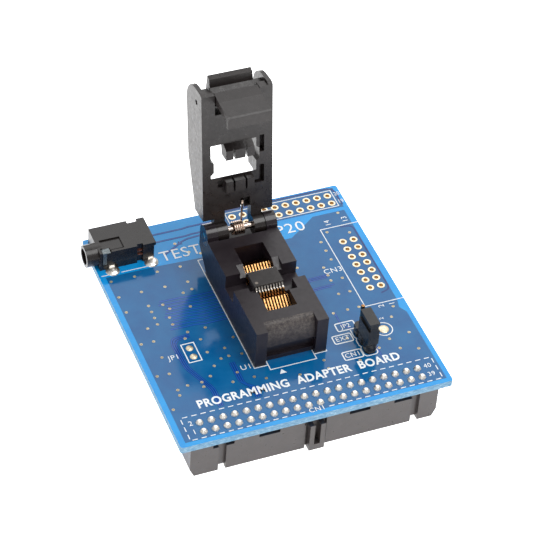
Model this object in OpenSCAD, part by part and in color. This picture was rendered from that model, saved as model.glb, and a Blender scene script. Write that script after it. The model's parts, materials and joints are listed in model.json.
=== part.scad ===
// Plug-in programming adapter board: a clamshell test socket for a 20-lead chip,
// a 3.5 mm jack and a pin-header shunt on top, a 40-way keyed receptacle below.
// X runs along the receptacle, Y towards the socket's hinge, Z up from the receptacle's
// mating face. The origin is the centre of that face.

/* [Board] */
// Width of the board
board_w = 60; // [58:1:72]
// Depth of the board, front to back
board_d = 64; // [63.5:0.5:80]
// Thickness of the board
board_t = 1.6; // [1:0.1:2.4]
// From the receptacle's front face to the board's front edge
board_lip = 1.1; // [0.9:0.1:4]
// Radius of the board's corners
board_corner_r = 0.6; // [0.2:0.1:2]

/* [Plug-in receptacle] */
// Pin pitch of every 2.54 mm connector
pitch = 2.54; // [2.54]
// Contacts in each of the receptacle's two rows
cn1_cols = 20; // [10:1:20]
// Height of the receptacle under the board
cn1_h = 9.1; // [8:0.1:12]
// Thickness of the receptacle, front to back
cn1_d = 6; // [5.6:0.1:7]
// Housing beyond the last contact at each end
cn1_end = 3.32; // [2.8:0.02:4]
// Square opening of each contact cavity
cn1_cavity = 1.1; // [1:0.05:1.3]
// Width of the polarising key
key_w = 3.4; // [2.6:0.1:4.2]
// How far the key stands out of the front face
key_out = 1.05; // [0.6:0.05:1.5]
// Height of the key above the mating face
key_h = 7.3; // [5:0.1:7.8]

/* [Test socket] */
// Width of the socket
sock_w = 16; // [15.6:0.1:20]
// Depth of the socket base
sock_d = 33.8; // [33.4:0.1:38]
// Height of the socket base above the board
sock_h = 9.6; // [9:0.1:12]
// From the receptacle's centre line to the base's front face
sock_y = 12.2; // [9:0.1:13]
// Width of the curved nose that the latch hooks under
nose_w = 11; // [10.6:0.1:11.6]
// Lead pitch of the chip and its contacts
lead_pitch = 0.65; // [0.5:0.05:0.65]
// Leads on each side of the chip
lead_count = 10; // [6:1:10]
// Distance from the base's front face to the chip's centre
chip_back = 15.8; // [15.4:0.1:16.2]

/* [Chip] */
// Length of the chip's body along X
chip_l = 6.5; // [4:0.1:6.6]
// Width of the chip's body along Y
chip_d = 4.4; // [4.2:0.05:4.5]
// Thickness of the chip's body
chip_t = 1; // [0.8:0.05:1.1]
// Lead tip to lead tip
chip_span = 6.4; // [6.2:0.05:6.8]

/* [Hinge] */
// Height of the hinge axis above the board
hinge_h = 9.7; // [9.4:0.1:12]
// Distance from the base's rear face to the hinge axis
hinge_in = 2.3; // [2.2:0.05:3]
// Radius of the hinge pin
hinge_pin_r = 0.7; // [0.5:0.05:0.9]
// Radius of the base's hinge ears
ear_r = 2.3; // [1.8:0.05:2.6]
// Inner side of each base ear, from the middle
ear_x = 5.5; // [5:0.1:6.5]
// Inner side of each lid knuckle, from the middle
knuckle_x = 2.95; // [2.5:0.05:3.5]
// Running gap between ear and knuckle
side_gap = 0.1; // [0.05:0.05:0.3]
// Swing of the lid from open to closed
lid_swing = 98; // [90:1:105]

/* [Lid] */
// From the latch pin to the lid's far end
lid_over = 3.1; // [2.7:0.1:5]
// Gap between the closed lid's inner face and the hinge axis height
lid_gap = 0.6; // [0.5:0.05:1]
// Thickness of the lid's inner plate
plate_t = 2; // [1.5:0.1:3]
// Thickness of the lid's side walls
side_t = 1; // [0.8:0.1:1.5]
// Outer height of the side walls
side_h = 9.6; // [8:0.1:11]
// Left edge of the lid's window
window_left = -6; // [-6.4:0.1:-5]
// Right edge of the lid's window
window_right = 4.2; // [3.8:0.1:4.4]
// Width of the middle press finger
finger_w = 2.28; // [1.6:0.02:2.4]
// Width of each outer press finger
finger_outer_w = 1.6; // [1.2:0.05:1.6]

/* [Latch] */
// Width of the latch
latch_w = 9.6; // [8.6:0.1:9.8]
// Running gap on each side of the latch
latch_gap = 0.15; // [0.1:0.05:0.3]
// Radius of the latch pin
latch_pin_r = 0.6; // [0.4:0.05:0.7]

/* [Audio-style jack] */
// Length of the jack's housing along X
jack_l = 12.6; // [11.5:0.1:14]
// Depth of the jack's housing along Y
jack_d = 8.4; // [8:0.1:10]
// Height of the jack's housing
jack_h = 4.9; // [4.8:0.1:6]
// Left face of the housing inside the board's left edge
jack_in = 0.8; // [0.2:0.1:3]
// Rear face of the housing inside the board's rear edge
jack_back = 1.9; // [1.2:0.1:4]
// Radius of the jack's barrel
barrel_r = 2.5; // [2.3:0.05:2.9]
// Length of the barrel outside the housing
barrel_l = 2.75; // [2:0.05:4]
// Radius of the bore for a 3.5 mm plug
jack_bore_r = 1.8; // [1.78:0.01:1.85]

/* [Shunt header] */
// Place of the header's middle pin along X
jp_x = 16.82; // [14:0.1:20]
// Place of the header's middle pin along Y
jp_y = 12.14; // [11:0.1:18]
// Height of the header's insulator
jp_h = 2.5; // [2:0.1:3]
// Height of the pins above the board
jp_pin_h = 8.2; // [7.5:0.1:9]
// Side of the square pins
pin_sq = 0.64; // [0.6:0.02:0.68]
// Height of the shunt's handle above the board
shunt_top = 8.65; // [8.55:0.05:10]

/* [Hidden] */
$fn = 48;
eps = 0.02;

// Heights of the board's two faces
under = cn1_h;
top = cn1_h + board_t;

// Board outline
board_y0 = -cn1_d / 2 - board_lip;
board_y1 = board_y0 + board_d;

// Plated holes
hole_r = 0.63;
plated_r = 0.47;
pad_r = 0.85;
copper_t = 0.06;
tail_sq = 0.5;
joint_h = 0.72;
tail_up = 0.76;

// CN2 lies along the rear edge, CN3 along the right edge
cn2_cols = 10;
cn2_x0 = board_w / 2 - 3.24;
cn2_y0 = board_y1 - 5.44;
cn3_rows = 7;
cn3_x0 = board_w / 2 - 5.7;
cn3_y0 = board_y0 + 30.86;

// Two bridging holes beside the socket and one test pad at its right
jp1_x = -board_w / 2 + 11.13;
jp1_y = board_y0 + 23.28;
test_x = board_w / 2 - 7.93;
test_y = board_y0 + 18.33;
test_r = 1.2;

// Receptacle
cn1_l = (cn1_cols - 1) * pitch + 2 * cn1_end;
cn1_front = -cn1_d / 2;
key_recess = 0.8;
key_side = 0.6;
key_slit_w = 1.3;
key_slit_h = 5.3;
slot_w = 4.6;
slot_h = 2.2;
slot_d = 0.9;
slot_step = 4 * pitch - 0.16;
slot_shift = 0.3;
channel_w = 1.65;
channel_d = 0.8;
channel_left = -cn1_l / 2 + 6.95;
channel_right = cn1_l / 2 - 5.05;
notch_h = 0.8;
end_cut_x = 0.9;
end_cut_z = 2;
leaf_t = 0.17;
leaf_w = 0.8;
contact_fit = 0.05;

// Socket base
sock_y1 = sock_y + sock_d;
base_top = top + sock_h;
hinge_y = sock_y1 - hinge_in;
hinge_z = top + hinge_h;
chip_y = sock_y + chip_back;
chip_seat = 8.3;
lead_w = 0.3;
channel_d_y = chip_d + 0.25;
channel_floor = 6.3;
window_w = lead_count * lead_pitch;
window_reach = 7.6;
window_depth = 8.2;
nose_top_back = 2.95;
nose_tip_back = 0.85;
nose_under = 4.1;
nose_recess_back = 1.95;
nose_sill_back = 1.1;
nose_sill_h = 1.2;
facet_w = 1.5;
facet_l = 2.6;
facet_h = 1.5;
slope_w = 1.9;
slope_l = 3;
slope_h = 2;
step_l = 1.7;
step_h = 1.2;
rear_cut_y = 4.3;
rear_cut_z0 = 1;
rear_cut_z1 = 5;
pocket_below = 2.7;
pocket_floor = hinge_h - pocket_below;
pocket_front = 2.6;
peg_r = 0.75;
peg_x = 6.2;
peg_fit = 0.05;
contact_t = 0.28;
contact_tip_y = 3.02;
stagger = 1.8;
tail_y = [7.2, 7.2 + stagger];
tail_r = 0.2;
tail_hole_r = 0.32;
tail_pad_r = 0.5;
tail_down = 1.1;

// Hinge
pin_fit = 0.05;
knuckle_r = 2.1;
hinge_x1 = sock_w / 2;

// Lid, in its own closed frame: u runs from the hinge towards the latch, w is outwards
lid_w = sock_w - 0.2;
leg_u = 3;
chip_u = hinge_y - chip_y;
win_u0 = chip_u - 2.2;
win_u1 = chip_u + 5.9;
win_flare = 1.5;
back_rib_w = 4.2;
rib_w = 5.2;
end_rib_w = 6.6;
lid_round = 5;
finger_gap = 0.43;
finger_x = finger_w / 2 + finger_gap + finger_outer_w / 2;
finger_in = 0.45;
finger_far_l = 2.25;
finger_near_l = 2.65;
finger_slope = 0.65;
finger_free = 1.6;
finger_groove = 0.3;
finger_reach = chip_span / 2;
side_rib_t = 1.2;
edge_step = 0.7;
side_rib_w = 5.4;
pocket_x0 = 4.95;
pocket_x1 = 6;
pocket_w = lid_gap + 1.7;
nose_tip_u = hinge_y - (sock_y + nose_tip_back);
latch_u = nose_tip_u + 0.55;
latch_w_axis = 3.6;
boss_u0 = latch_u - 2.2;
boss_u1 = latch_u + 1.8;
lid_len = latch_u + lid_over;
latch_room = latch_w / 2 + latch_gap;
press_w = top + chip_seat + 0.25 - hinge_z;

// Latch hook, measured up from the board where it meets the nose
hook_fit = 0.12;
hook_top_w = top + nose_under - hook_fit - hinge_z;
lip_t = 0.9;
lip_in_u = nose_tip_u - 0.85;
plate_in_u = nose_tip_u + 0.55;

// Springs
spring_turns = 5;
spring_wire_r = 0.21;
spring_r = 1.35;
spring_pitch = 0.46;
spring_x0 = -1.4;
spring_lead = 60;
spring_x1 = spring_x0 + (spring_turns + spring_lead / 360) * spring_pitch;
spring_leg_base = 2.6;
spring_leg_lid = 6.4;
spring_slot = 0.35;
latch_spring_turns = 4;
latch_spring_r = 1.0;
latch_spring_wire = 0.14;
latch_spring_pitch = 0.32;
latch_spring_x0 = -0.68;
latch_spring_leg_lid = latch_u - boss_u0 - latch_spring_wire - 0.02;
latch_spring_leg_hook = 1.15;
latch_slot = 1.1;

// Jack
jack_x0 = -board_w / 2 + jack_in;
jack_y1 = board_y1 - jack_back;
jack_y0 = jack_y1 - jack_d;
jack_axis_y = jack_y0 + 2.8;
jack_axis_z = top + 2.5;
jack_bore_l = barrel_l + jack_l - 1.2;
chamber_x0 = jack_x0 + 1.8;
chamber_x1 = jack_x0 + jack_l - 1.4;
chamber_z0 = 1.1;
chamber_z1 = 3.9;
chamber_y1 = jack_y1 - 0.9;
slot_half = 0.75;
panel_d = 0.35;
panel_l = 5.6;
tab_w = 1.2;
tab_t = 0.25;
tab_h = 1.2;
tab_foot = 1.5;
tab_x = [jack_x0 + 2.6, jack_x0 + jack_l - 1.2];
blob_r = 1.6;
blob_h = 0.75;

// Shunt header
jp_pins = 3;
cell_cut = 0.55;
jp_body = 2.5;
solder_down = 1;
pin_down = 1.6;
shunt_w = 2.44;
shunt_l = 2 * pitch;
shunt_z0 = jp_h + 0.1;
shunt_body_h = 3.9;
neck_w = 1.7;
flange_w = 2.3;
flange_t = 0.65;
shunt_slot_w = 1.16;
shunt_slot_l = pitch + pin_sq + 0.36;
shunt_slot_top = jp_pin_h + 0.1;
clip_t = 0.16;
clip_z0 = shunt_z0 + 0.3;
clip_h = 2.9;

// ---------------------------------------------------------------- helpers

// A Y-Z outline drawn out along X, centred on X = 0
module across(width) {
    rotate([0, 0, 90]) rotate([90, 0, 0]) linear_extrude(width, center = true) children();
}

// A u-w outline of the lid drawn out along X, centred on X = 0
module lid_across(width) {
    rotate([0, 0, -90]) rotate([90, 0, 0]) linear_extrude(width, center = true) children();
}

// A block between two corners
module block(a, b) {
    translate(a) cube(b - a);
}

// A block in the lid's closed frame, between (x, u, w) corners
module lid_block(a, b) {
    translate([a[0], -b[1], a[2]]) cube([b[0] - a[0], b[1] - a[1], b[2] - a[2]]);
}

// Puts the lid's closed frame where it is at rest, fully open
module lid_place() {
    translate([0, hinge_y, hinge_z]) rotate([-lid_swing, 0, 0]) children();
}

// A cylinder along X between two stations
module rod(r, x0, x1) {
    translate([x0, 0, 0]) rotate([0, 90, 0]) cylinder(r = r, h = x1 - x0);
}

module cn1_spots() {
    for (i = [0 : cn1_cols - 1], j = [-1, 1])
        translate([(i - (cn1_cols - 1) / 2) * pitch, j * pitch / 2, 0]) children();
}

module cn2_spots() {
    for (i = [0 : cn2_cols - 1], j = [0, 1])
        translate([cn2_x0 - i * pitch, cn2_y0 + j * pitch, 0]) children();
}

module cn3_spots() {
    for (i = [0, 1], j = [0 : cn3_rows - 1])
        translate([cn3_x0 + i * pitch, cn3_y0 + j * pitch, 0]) children();
}

module jp1_spots() {
    for (j = [0, 1]) translate([jp1_x, jp1_y + j * pitch, 0]) children();
}

module header_spots(count = jp_pins) {
    for (j = [0 : count - 1]) translate([jp_x, jp_y + (j - 1) * pitch, 0]) children();
}

// Contact stations of the socket: side is -1 for the front row and 1 for the rear row
module lead_spots(side) {
    for (i = [0 : lead_count - 1])
        translate([(i - (lead_count - 1) / 2) * lead_pitch, chip_y, 0])
            mirror([0, side < 0 ? 0 : 1, 0]) {
                $odd = i % 2;
                children();
            }
}

module peg_spots() {
    for (sx = [-1, 1]) translate([sx * peg_x, chip_y - sx * 9.5, 0]) children();
}

// A torsion spring about the X axis, drawn as one wire: a leg, the coil, and a second leg.
// The first leg runs into the coil at angle a0, the second leaves it at angle a0 + 360 * turns.
module torsion_spring(turns, a0, r, wire, rise, leg0, leg1, steps, sides) {
    count = round(turns * steps);
    tangent = function (a) [0, -sin(a), cos(a)];
    spot = function (i) let (a = a0 + 360 * i / steps) [rise * i / steps, r * cos(a), r * sin(a)];
    angle = function (i) a0 + 360 * i / steps;
    stations = concat(
        [[spot(0) - leg0 * tangent(angle(0)), angle(0)]],
        [for (i = [0 : count]) [spot(i), angle(i)]],
        [[spot(count) + leg1 * tangent(angle(count)), angle(count)]]
    );
    points = [
        for (s = stations, k = [0 : sides - 1])
            let (n = [0, cos(s[1]), sin(s[1])], t = 360 * k / sides)
            s[0] + wire * (cos(t) * n + sin(t) * [1, 0, 0])
    ];
    last = len(stations) - 1;
    faces = concat(
        [[for (k = [0 : sides - 1]) sides - 1 - k]],
        [[for (k = [0 : sides - 1]) last * sides + k]],
        [
            for (i = [0 : last - 1], k = [0 : sides - 1])
                let (q = (k + 1) % sides)
                [i * sides + k, i * sides + q, (i + 1) * sides + q, (i + 1) * sides + k]
        ]
    );
    polyhedron(points = points, faces = faces, convexity = 10);
}

// ---------------------------------------------------------------- board and plating

module board() {
    color("steelblue")
    difference() {
        translate([0, 0, under])
            linear_extrude(board_t)
                difference() {
                    translate([-board_w / 2, board_y0]) square([board_w, board_d]);
                    for (sx = [-1, 1], end = [0, 1])
                        translate([sx * board_w / 2, end ? board_y1 : board_y0])
                            mirror([sx > 0 ? 1 : 0, 0])
                                mirror([0, end])
                                    difference() {
                                        translate([-1, -1]) square(board_corner_r + 1);
                                        translate([board_corner_r, board_corner_r]) circle(board_corner_r);
                                    }
                }
        cn1_spots() board_hole(hole_r);
        cn2_spots() board_hole(hole_r);
        cn3_spots() board_hole(hole_r);
        jp1_spots() board_hole(hole_r);
        header_spots() board_hole(hole_r);
        translate([test_x, test_y, 0]) board_hole(hole_r);
        for (side = [-1, 1]) lead_spots(side) translate([0, -tail_y[$odd], 0]) board_hole(tail_hole_r);
        peg_spots() board_hole(peg_r + peg_fit);
    }
}

module board_hole(r) {
    translate([0, 0, under - 1]) cylinder(r = r, h = board_t + 2);
}

// A plated-through hole: a thin tube with a ring on each face
module plated_hole() {
    translate([0, 0, under])
        rotate_extrude()
            polygon([
                [plated_r, -copper_t], [pad_r, -copper_t], [pad_r, 0], [hole_r, 0],
                [hole_r, board_t], [pad_r, board_t], [pad_r, board_t + copper_t],
                [plated_r, board_t + copper_t]
            ]);
}

// A hole filled with solder, domed on both faces
module solder_plug(r, rise) {
    translate([0, 0, under])
        rotate_extrude()
            polygon([
                [0, -rise], [r * 0.5, -rise * 0.75], [r, 0], [hole_r, 0], [hole_r, board_t],
                [r, board_t], [r * 0.85, board_t + rise * 0.5], [r * 0.45, board_t + rise * 0.9],
                [0, board_t + rise]
            ]);
}

module cn2_plated_holes() {
    color("gold") cn2_spots() plated_hole();
}

module cn3_plated_holes() {
    color("gold") cn3_spots() plated_hole();
}

module jp1_solder_pads() {
    color("silver") jp1_spots() solder_plug(pad_r, 0.25);
}

module test_pad() {
    color("silver") translate([test_x, test_y, 0]) solder_plug(test_r, 0.3);
}

// ---------------------------------------------------------------- plug-in receptacle

module cn1_housing() {
    color("dimgray")
    difference() {
        union() {
            rotate([90, 0, 0])
                linear_extrude(cn1_d, center = true)
                    polygon([
                        [-cn1_l / 2, under], [-cn1_l / 2, end_cut_z], [-cn1_l / 2 + end_cut_x, 0],
                        [cn1_l / 2 - end_cut_x, 0], [cn1_l / 2, end_cut_z], [cn1_l / 2, under]
                    ]);
            block(
                [-key_w / 2, cn1_front - key_out, 0],
                [key_w / 2, cn1_front + key_recess + eps, key_h]
            );
        }
        // the key stands in a recess, as a loop round a slit
        for (sx = [-1, 1])
            translate([sx * (key_w / 2 + key_side / 2), cn1_front, under / 2])
                cube([key_side, 2 * key_recess, under + 1], center = true);
        block(
            [-key_slit_w / 2, cn1_front - key_out - 1, key_h - key_slit_h - 0.4],
            [key_slit_w / 2, cn1_front + key_recess, key_h - 0.4 + 1]
        );
        // relief slots along the top edge
        for (i = [-2 : 2])
            translate([i * slot_step - slot_shift, cn1_front, under - slot_h / 2])
                cube([slot_w, 2 * slot_d, slot_h + eps], center = true);
        // two guide channels with notches where they meet the mating face
        for (x = [channel_left, channel_right]) {
            translate([x, cn1_front, under / 2])
                cube([channel_w, 2 * channel_d, under + 1], center = true);
            block([x - channel_w / 2, cn1_front - 1, -1], [x + channel_w / 2, cn1_d / 2 + 1, notch_h]);
        }
        cn1_spots() {
            translate([-cn1_cavity / 2, -cn1_cavity / 2, -1])
                cube([cn1_cavity, cn1_cavity, under + 2]);
            translate([-0.8, -0.8, -eps]) cube([1.6, 1.6, 0.35]);
        }
    }
}

module cn1_contacts() {
    wide = cn1_cavity - 2 * contact_fit;
    color("goldenrod")
    cn1_spots() {
        for (sx = [-1, 1])
            translate([sx * (wide - leaf_t) / 2 - leaf_t / 2, -leaf_w / 2, 1])
                cube([leaf_t, leaf_w, under - 1.8 + eps]);
        translate([-wide / 2, -wide / 2, under - 0.8]) cube([wide, wide, 0.8]);
        translate([-tail_sq / 2, -tail_sq / 2, under - eps])
            cube([tail_sq, tail_sq, board_t + tail_up + eps]);
    }
}

module cn1_solder_joints() {
    color("silver")
    cn1_spots()
        difference() {
            union() {
                translate([0, 0, under]) cylinder(r = hole_r, h = board_t);
                translate([0, 0, top])
                    rotate_extrude()
                        polygon([
                            [0, 0], [pad_r, 0], [pad_r * 0.92, joint_h * 0.34], [pad_r * 0.72, joint_h * 0.7],
                            [pad_r * 0.46, joint_h], [0, joint_h]
                        ]);
            }
            translate([-tail_sq / 2, -tail_sq / 2, under - 1])
                cube([tail_sq, tail_sq, board_t + joint_h + 2]);
        }
}

// ---------------------------------------------------------------- test socket base

module nose_outline() {
    y0 = sock_y;
    polygon([
        [y0 - 1, top - 1], [y0 + nose_sill_back, top - 1],
        [y0 + nose_sill_back, top + nose_sill_h],
        [y0 + nose_recess_back, top + nose_sill_h],
        [y0 + nose_recess_back, top + nose_under],
        [y0 + nose_tip_back, top + nose_under],
        for (a = [0 : 9 : 90])
            [
                y0 + nose_top_back - (nose_top_back - nose_tip_back) * cos(a),
                top + nose_under + 0.6 + (sock_h - nose_under - 0.6) * sin(a)
            ],
        [y0 + nose_top_back, base_top + 1], [y0 - 1, base_top + 1]
    ]);
}

module socket_base() {
    z = top;
    color("#3a3436")
    difference() {
        union() {
            block([-sock_w / 2, sock_y, z], [sock_w / 2, sock_y1, z + sock_h]);
            for (sx = [-1, 1]) {
                translate([0, hinge_y, hinge_z])
                    rod(ear_r, sx > 0 ? ear_x : -hinge_x1, sx > 0 ? hinge_x1 : -ear_x);
                block(
                    [sx > 0 ? ear_x : -hinge_x1, hinge_y - ear_r, z + sock_h - 1],
                    [sx > 0 ? hinge_x1 : -ear_x, hinge_y + ear_r, max(hinge_z, z + sock_h)]
                );
            }
            peg_spots() translate([0, 0, under + 0.1]) cylinder(r = peg_r, h = board_t);
        }
        // curved nose with the catch below it
        across(nose_w) nose_outline();
        // the rear lifts off the board
        across(sock_w + 2)
            polygon([
                [sock_y1 - rear_cut_y, z - 1], [sock_y1 - rear_cut_y, z + rear_cut_z0],
                [sock_y1, z + rear_cut_z1], [sock_y1 + 1, z + rear_cut_z1], [sock_y1 + 1, z - 1]
            ]);
        // channel across, where the chip drops in, leaving a pedestal under it
        difference() {
            block(
                [-sock_w / 2 - 1, chip_y - channel_d_y / 2, z + channel_floor],
                [sock_w / 2 + 1, chip_y + channel_d_y / 2, z + sock_h + 1]
            );
            block(
                [-chip_l / 2 + 0.3, chip_y - 1.5, z + channel_floor - 1],
                [chip_l / 2 - 0.3, chip_y + 1.5, z + chip_seat - 0.05]
            );
        }
        // contact windows before and behind the chip
        for (s = [-1, 1])
            translate([0, chip_y, 0])
                mirror([0, s < 0 ? 0 : 1, 0]) {
                    block(
                        [-window_w / 2, -channel_d_y / 2 - window_reach, z + sock_h - window_depth],
                        [window_w / 2, -1.5, z + sock_h + 1]
                    );
                    for (i = [0 : lead_count - 1])
                        translate([(i - (lead_count - 1) / 2) * lead_pitch, 0, 0])
                            for (t = [i % 2])
                                translate([0, -tail_y[t], z - 1]) cylinder(r = tail_hole_r, h = 4);
                }
        // facets beside the rear window
        for (sx = [-1, 1])
            translate([sx * (window_w + facet_w) / 2, chip_y + channel_d_y / 2, 0])
                across(facet_w)
                    polygon([
                        [-eps, z + sock_h + 1], [-eps, z + sock_h - facet_h],
                        [facet_l, z + sock_h + eps], [facet_l, z + sock_h + 1]
                    ]);
        // slope at the right of the front window and a low step at its left
        translate([(window_w + slope_w) / 2, chip_y - channel_d_y / 2, 0])
            across(slope_w)
                polygon([
                    [eps, z + sock_h + 1], [eps, z + sock_h - slope_h],
                    [-slope_l * 0.45, z + sock_h - slope_h], [-slope_l, z + sock_h + eps],
                    [-slope_l, z + sock_h + 1]
                ]);
        block(
            [-window_w / 2 - facet_w, chip_y - channel_d_y / 2 - step_l, z + sock_h - step_h],
            [-window_w / 2, chip_y - channel_d_y / 2 + eps, z + sock_h + 1]
        );
        // pocket for the lid's knuckles and the spring
        block(
            [-ear_x, hinge_y - pocket_front, z + pocket_floor],
            [ear_x, sock_y1 + 1, z + sock_h + 4]
        );
        translate([0, hinge_y, hinge_z]) rod(hinge_pin_r, -sock_w, sock_w);
    }
}

// One pinch contact: a flat blade bent round under the chip's lead, with a tail through the board
module contact_blade() {
    tip = top + chip_seat;
    foot = top + sock_h - window_depth;
    across(contact_t)
        polygon([
            [-contact_tip_y + 0.45, tip - 0.02], [-contact_tip_y - 0.35, tip - 0.02],
            [-contact_tip_y - 0.75, tip - 0.75], [-contact_tip_y - 1.6, tip - 0.3],
            [-contact_tip_y - 2.25, tip + 0.1], [-contact_tip_y - 4.9, tip - 1.6],
            [-contact_tip_y - 5.7, tip - 3],
            [-contact_tip_y - 6.4, tip - 4.6], [-contact_tip_y - 6.5, foot],
            [-contact_tip_y - 2.3, foot], [-contact_tip_y - 2.3, foot + 1.1],
            [-contact_tip_y - 5.5, foot + 1.4], [-contact_tip_y - 5.1, tip - 4.4],
            [-contact_tip_y - 4.4, tip - 2.5], [-contact_tip_y - 2.3, tip - 1.1],
            [-contact_tip_y - 0.8, tip - 1.8], [-contact_tip_y - 0.2, tip - 0.9],
            [-contact_tip_y + 0.45, tip - 0.5]
        ]);
}

module contact_row(side) {
    foot = top + sock_h - window_depth;
    lead_spots(side) {
        contact_blade();
        translate([0, -tail_y[$odd], under - tail_down])
            cylinder(r = tail_r, h = foot - under + tail_down + 0.3);
    }
}

module socket_contacts_front() {
    color("goldenrod") contact_row(-1);
}

module socket_contacts_rear() {
    color("goldenrod") contact_row(1);
}

module socket_solder_joints() {
    color("silver")
    for (side = [-1, 1])
        lead_spots(side)
            translate([0, -tail_y[$odd], 0])
                difference() {
                    union() {
                        translate([0, 0, under]) cylinder(r = tail_hole_r, h = board_t);
                        translate([0, 0, under - 0.6])
                            cylinder(r1 = tail_r + 0.06, r2 = tail_pad_r, h = 0.6);
                    }
                    translate([0, 0, under - 2]) cylinder(r = tail_r, h = board_t + 4);
                }
}

// ---------------------------------------------------------------- hinge and lid

module hinge_pin() {
    color("silver")
    translate([0, hinge_y, hinge_z])
        rod(hinge_pin_r, -hinge_x1 + 0.05, hinge_x1 - 0.05);
}

module lid_spring() {
    color("silver")
    translate([spring_x0, hinge_y, hinge_z])
        torsion_spring(
            spring_turns + spring_lead / 360, -spring_lead, spring_r, spring_wire_r, spring_pitch,
            spring_leg_base, spring_leg_lid, 18, 8
        );
}

module lid_side_outline() {
    polygon([
        [leg_u, lid_gap], [leg_u, 5.6], [15.5, side_h - 0.3], [lid_len - lid_round - 1, side_h],
        for (a = [90 : -15 : 0])
            [lid_len - lid_round * (1 - cos(a)), side_h - lid_round * (1 - sin(a))],
        [lid_len, lid_gap + 0.9], [lid_len - 0.5, lid_gap]
    ]);
}

// One press finger over each row of leads: they push the leads down on the contacts
module finger_pair() {
    root = lid_gap + 0.3;
    far = chip_u + finger_reach - finger_in;
    near = chip_u - finger_reach + finger_in;
    polygon([
        [far, press_w], [far + finger_far_l, press_w], [win_u1 + eps, lid_gap], [win_u1 + eps, lid_gap + 1.5],
        [far, lid_gap + 1]
    ]);
    polygon([
        [near, press_w], [near, root], [near - finger_near_l - finger_slope, root],
        [near - finger_near_l - finger_slope, lid_gap], [near - finger_near_l, press_w]
    ]);
}

module press_fingers() {
    tip = chip_u + finger_reach - finger_in;
    lid_across(2 * finger_x + finger_outer_w)
        polygon([
            [tip + finger_free, press_w + finger_groove], [tip + finger_far_l, press_w + finger_groove],
            [win_u1 + eps, lid_gap], [win_u1 + eps, lid_gap + 1.5], [tip + finger_free, lid_gap + 1]
        ]);
    lid_across(finger_w) finger_pair();
    for (sx = [-1, 1]) translate([sx * finger_x, 0, 0]) lid_across(finger_outer_w) finger_pair();
}

module socket_lid() {
    back_w = lid_gap + plate_t;
    color("#4a4546")
    lid_place()
    difference() {
        union() {
            // two side walls and the plate between them, with the window cut out
            for (sx = [-1, 1])
                translate([sx * (lid_w - side_t) / 2, 0, 0]) lid_across(side_t) lid_side_outline();
            difference() {
                union() {
                    lid_block([-lid_w / 2, leg_u, lid_gap], [lid_w / 2, lid_len - 0.5, back_w]);
                    lid_block(
                        [window_right, win_u0 - 1, lid_gap],
                        [window_right + side_rib_t, win_u1 + 1, side_rib_w]
                    );
                }
                translate([(window_left + window_right) / 2, 0, 0])
                    lid_across(window_right - window_left)
                        polygon([
                            [win_u0, -1], [win_u0, lid_gap], [win_u0 - win_flare, back_w + eps],
                            [win_u0 - win_flare, side_rib_w + 1], [win_u1, side_rib_w + 1], [win_u1, -1]
                        ]);
                // notch in the window's right edge
                translate([window_right, -chip_u, -1])
                    linear_extrude(side_rib_w + 2)
                        polygon([[-eps, -3.7], [edge_step, -3.2], [edge_step, -0.5], [-eps, -0.1]]);
            }
            // step in the window's left edge
            translate([window_left, -chip_u, lid_gap])
                linear_extrude(plate_t)
                    polygon([[-eps, 1.5], [edge_step, 0.9], [edge_step, -1.5], [-eps, -2.1]]);
            // knuckles with legs
            for (sx = [-1, 1]) {
                rod(
                    knuckle_r,
                    sx > 0 ? knuckle_x : -ear_x + side_gap,
                    sx > 0 ? ear_x - side_gap : -knuckle_x
                );
                lid_block(
                    [sx > 0 ? knuckle_x : -ear_x + side_gap, 0, lid_gap],
                    [sx > 0 ? ear_x - side_gap : -knuckle_x, leg_u + 2, back_w]
                );
            }
            // bosses for the latch pin
            for (sx = [-1, 1])
                lid_block(
                    [sx > 0 ? latch_room : -lid_w / 2, boss_u0, lid_gap],
                    [sx > 0 ? lid_w / 2 : -latch_room, boss_u1, latch_w_axis + 1.6]
                );
            // cross ribs
            lid_block([-lid_w / 2, leg_u + 2, lid_gap], [lid_w / 2, leg_u + 3.2, rib_w]);
            lid_block([-lid_w / 2, boss_u0 - 1.2, lid_gap], [lid_w / 2, boss_u0, end_rib_w]);
            lid_block([-0.6, win_u1 + 0.5, lid_gap], [0.6, boss_u0 - 0.5, back_rib_w]);
            press_fingers();
        }
        // pocket for the latch
        lid_block([-latch_room, boss_u0, -2], [latch_room, lid_len + 1, 20]);
        // gap between the legs, over the spring
        lid_block([-knuckle_x, -5, -5], [knuckle_x, 4.7, 20]);
        // blind pockets: right of the window, left of the lower fingers, beside the spring's leg
        translate([0, -chip_u, 0]) {
            lid_block([pocket_x0, 2.1, -1], [pocket_x1, 6.3, pocket_w]);
            lid_block([pocket_x0, -5.5, -1], [pocket_x1, -1.1, pocket_w]);
            lid_block([window_right - 0.6, -5.5, -1], [pocket_x1, -4.7, pocket_w]);
            lid_block([-4.5, -4.8, -1], [-3.3, -3.1, lid_gap + 0.8]);
        }
        lid_block([1.5, 5, -1], [2.8, 7, lid_gap + 1.4]);
        lid_block([spring_x1 - spring_slot, 4, -1], [spring_x1 + spring_slot, 7, lid_gap + 0.8]);
        rod(hinge_pin_r + pin_fit, -sock_w, sock_w);
        translate([0, -latch_u, latch_w_axis]) rod(latch_pin_r, -sock_w, sock_w);
    }
}

// ---------------------------------------------------------------- latch

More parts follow.
